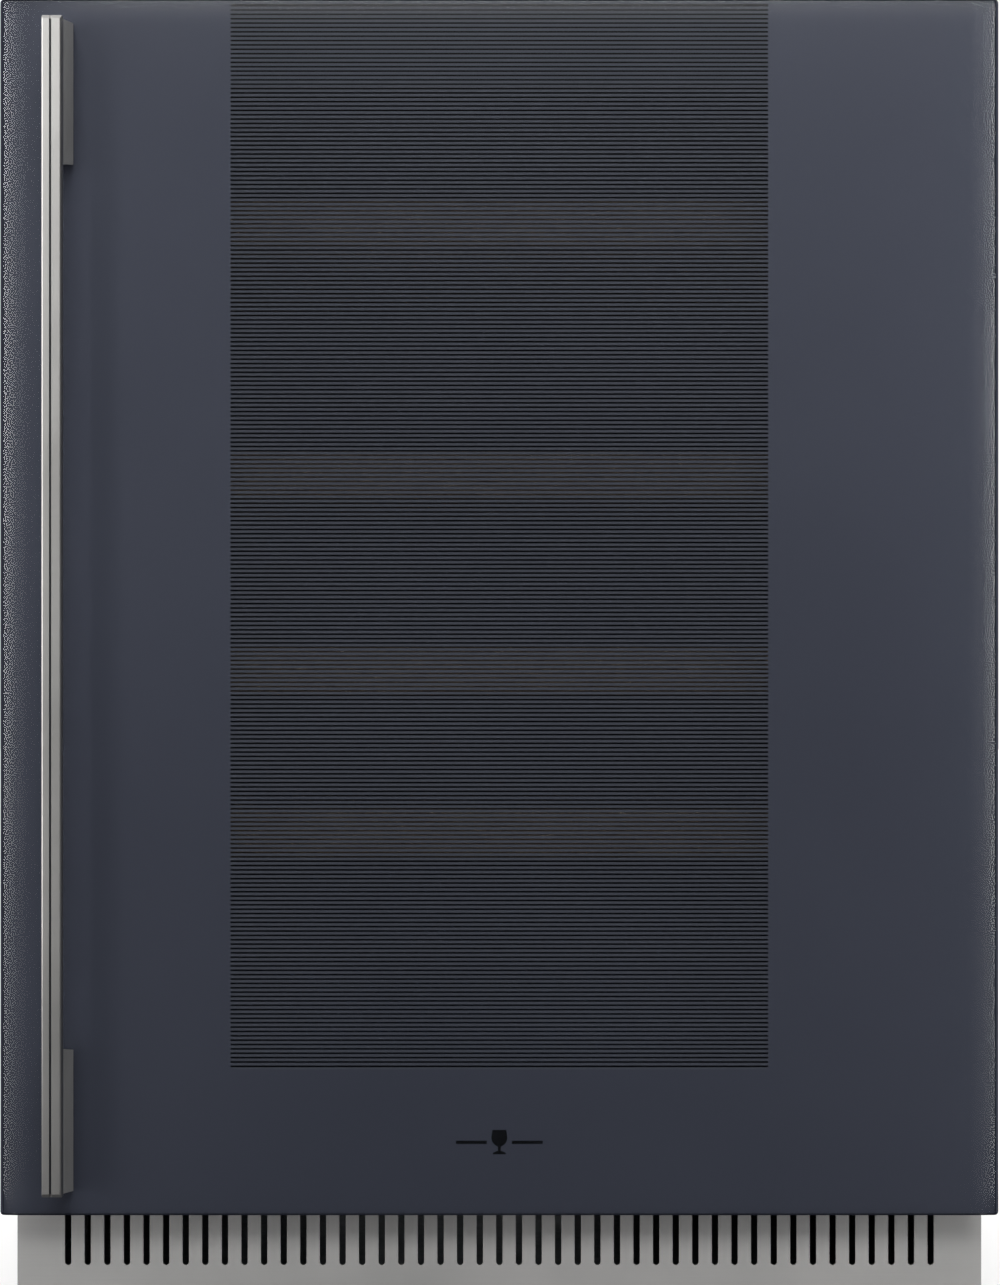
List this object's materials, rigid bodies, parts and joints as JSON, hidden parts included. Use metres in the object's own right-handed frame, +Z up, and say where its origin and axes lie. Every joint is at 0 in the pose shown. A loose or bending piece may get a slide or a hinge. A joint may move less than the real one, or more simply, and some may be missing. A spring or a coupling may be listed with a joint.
{
  "type": "wine cooler",
  "caption": "Built-under 60 cm wine cooler with a right-hinged mirrored glass door, striped window, long bar handle, sliding wooden shelves, slotted steel plinth and levelling feet.",
  "frame": {"origin": "on the floor, at the middle of the overall width and depth (handle included)", "axes": "+Z up, -Y out through the door, +X to the right of someone facing the door (hinge side)"},
  "size_m": [0.597, 0.618, 0.82],
  "materials": {
    "casing_paint": "matte",
    "zinc_sheet": "satin",
    "plinth_steel": "satin",
    "polyurethane_foam": "matte",
    "liner_plastic": "matte",
    "trim_plastic": "matte",
    "front_glass": "gloss",
    "clear_glass": "gloss",
    "spacer_aluminium": "satin",
    "handle_aluminium": "satin",
    "gasket_rubber": "matte",
    "bush_nylon": "matte",
    "shelf_wood": "satin",
    "runner_steel": "satin",
    "console_plastic": "gloss",
    "display_plastic": "gloss",
    "button_plastic": "satin",
    "board_laminate": "satin",
    "light_lens": "matte",
    "coil_aluminium": "satin",
    "fan_plastic": "matte",
    "motor_can": "satin",
    "filter_plastic": "matte",
    "compressor_enamel": "gloss",
    "mount_rubber": "matte",
    "copper": "satin",
    "tray_plastic": "matte",
    "inlet_plastic": "matte",
    "foot_plastic": "matte",
    "screw_steel": "satin"
  },
  "bodies": {
    "cabinet": {"front_frame": "casing_paint", "casing_panels": "casing_paint", "rear_panels": "zinc_sheet", "base_pan": "zinc_sheet", "bay_partition": "zinc_sheet", "foam_insulation": "polyurethane_foam", "inner_liner": "liner_plastic", "worktop_tabs": "zinc_sheet", "plinth_grille": "plinth_steel", "hinge_brackets": "runner_steel", "cabinet_screws": "screw_steel", "runner_rails": "runner_steel", "console_housing": "console_plastic", "display_lens": "display_plastic", "console_board": "board_laminate", "light_strip": "light_lens", "evaporator": "coil_aluminium", "evaporator_cover": "liner_plastic", "evaporator_fan_bracket": "fan_plastic", "carbon_filter": "filter_plastic", "condenser": "coil_aluminium", "condenser_shroud": "fan_plastic", "fan_motors": "motor_can", "compressor": "compressor_enamel", "compressor_mounts": "mount_rubber", "drip_tray": "tray_plastic", "refrigerant_pipes": "copper", "power_inlet": "inlet_plastic"},
    "door": {"outer_glass": "front_glass", "door_frame": "trim_plastic", "hinge_bushes": "bush_nylon", "inner_panes": "clear_glass", "glass_spacers": "spacer_aluminium", "door_trim": "trim_plastic", "door_gasket": "gasket_rubber", "handle_bar": "handle_aluminium", "handle_posts": "handle_aluminium", "handle_screws": "screw_steel"},
    "shelf_1": {"runner_slides_1": "runner_steel", "shelf_front_1": "shelf_wood", "shelf_rack_1": "shelf_wood"},
    "shelf_2": {"runner_slides_2": "runner_steel", "shelf_front_2": "shelf_wood", "shelf_rack_2": "shelf_wood"},
    "shelf_3": {"runner_slides_3": "runner_steel", "shelf_front_3": "shelf_wood", "shelf_rack_3": "shelf_wood"},
    "shelf_4": {"runner_slides_4": "runner_steel", "shelf_front_4": "shelf_wood", "shelf_rack_4": "shelf_wood"},
    "power_button": {"button_power": "button_plastic"},
    "light_button": {"button_light": "button_plastic"},
    "minus_button": {"button_minus": "button_plastic"},
    "plus_button": {"button_plus": "button_plastic"},
    "cold_fan": {"evaporator_impeller": "fan_plastic"},
    "hot_fan": {"condenser_impeller": "fan_plastic"},
    "front_left_foot": {"foot_front_left": "foot_plastic"},
    "front_right_foot": {"foot_front_right": "foot_plastic"},
    "rear_left_foot": {"foot_rear_left": "foot_plastic"},
    "rear_right_foot": {"foot_rear_right": "foot_plastic"}
  },
  "joints": [
    {"name": "door_hinge", "type": "hinge", "parent": "cabinet", "child": "door", "pos_m": [0.2865, -0.24, 0.455], "axis": [0, 0, 1], "range_deg": [0, 115]},
    {"name": "shelf_1_slide", "type": "slide", "parent": "cabinet", "child": "shelf_1", "axis": [0, -1, 0], "range_m": [0, 0.21]},
    {"name": "shelf_2_slide", "type": "slide", "parent": "cabinet", "child": "shelf_2", "axis": [0, -1, 0], "range_m": [0, 0.21]},
    {"name": "shelf_3_slide", "type": "slide", "parent": "cabinet", "child": "shelf_3", "axis": [0, -1, 0], "range_m": [0, 0.21]},
    {"name": "shelf_4_slide", "type": "slide", "parent": "cabinet", "child": "shelf_4", "axis": [0, -1, 0], "range_m": [0, 0.21]},
    {"name": "power_press", "type": "slide", "parent": "cabinet", "child": "power_button", "axis": [0, 1, 0], "range_m": [0, 0.001], "stiffness_N_per_m": 600, "springref_m": -0.0005},
    {"name": "light_press", "type": "slide", "parent": "cabinet", "child": "light_button", "axis": [0, 1, 0], "range_m": [0, 0.001], "stiffness_N_per_m": 600, "springref_m": -0.0005},
    {"name": "minus_press", "type": "slide", "parent": "cabinet", "child": "minus_button", "axis": [0, 1, 0], "range_m": [0, 0.001], "stiffness_N_per_m": 600, "springref_m": -0.0005},
    {"name": "plus_press", "type": "slide", "parent": "cabinet", "child": "plus_button", "axis": [0, 1, 0], "range_m": [0, 0.001], "stiffness_N_per_m": 600, "springref_m": -0.0005},
    {"name": "cold_fan_spin", "type": "hinge", "parent": "cabinet", "child": "cold_fan", "pos_m": [0, 0.245, 0.69], "axis": [0, 1, 0], "continuous": true},
    {"name": "hot_fan_spin", "type": "hinge", "parent": "cabinet", "child": "hot_fan", "pos_m": [-0.155, 0.185, 0.115], "axis": [1, 0, 0], "continuous": true},
    {"name": "front_left_foot_screw", "type": "slide", "parent": "cabinet", "child": "front_left_foot", "axis": [0, 0, -1], "range_m": [0, 0.05]},
    {"name": "front_right_foot_screw", "type": "slide", "parent": "cabinet", "child": "front_right_foot", "axis": [0, 0, -1], "range_m": [0, 0.05]},
    {"name": "rear_left_foot_screw", "type": "slide", "parent": "cabinet", "child": "rear_left_foot", "axis": [0, 0, -1], "range_m": [0, 0.05]},
    {"name": "rear_right_foot_screw", "type": "slide", "parent": "cabinet", "child": "rear_right_foot", "axis": [0, 0, -1], "range_m": [0, 0.05]}
  ],
  "couplings": [
    {"joint": "shelf_1_slide", "follows": "door_hinge", "m_per_rad": 0.080214},
    {"joint": "shelf_2_slide", "follows": "door_hinge", "m_per_rad": 0.080214},
    {"joint": "shelf_3_slide", "follows": "door_hinge", "m_per_rad": 0.080214},
    {"joint": "shelf_4_slide", "follows": "door_hinge", "m_per_rad": 0.080214}
  ]
}
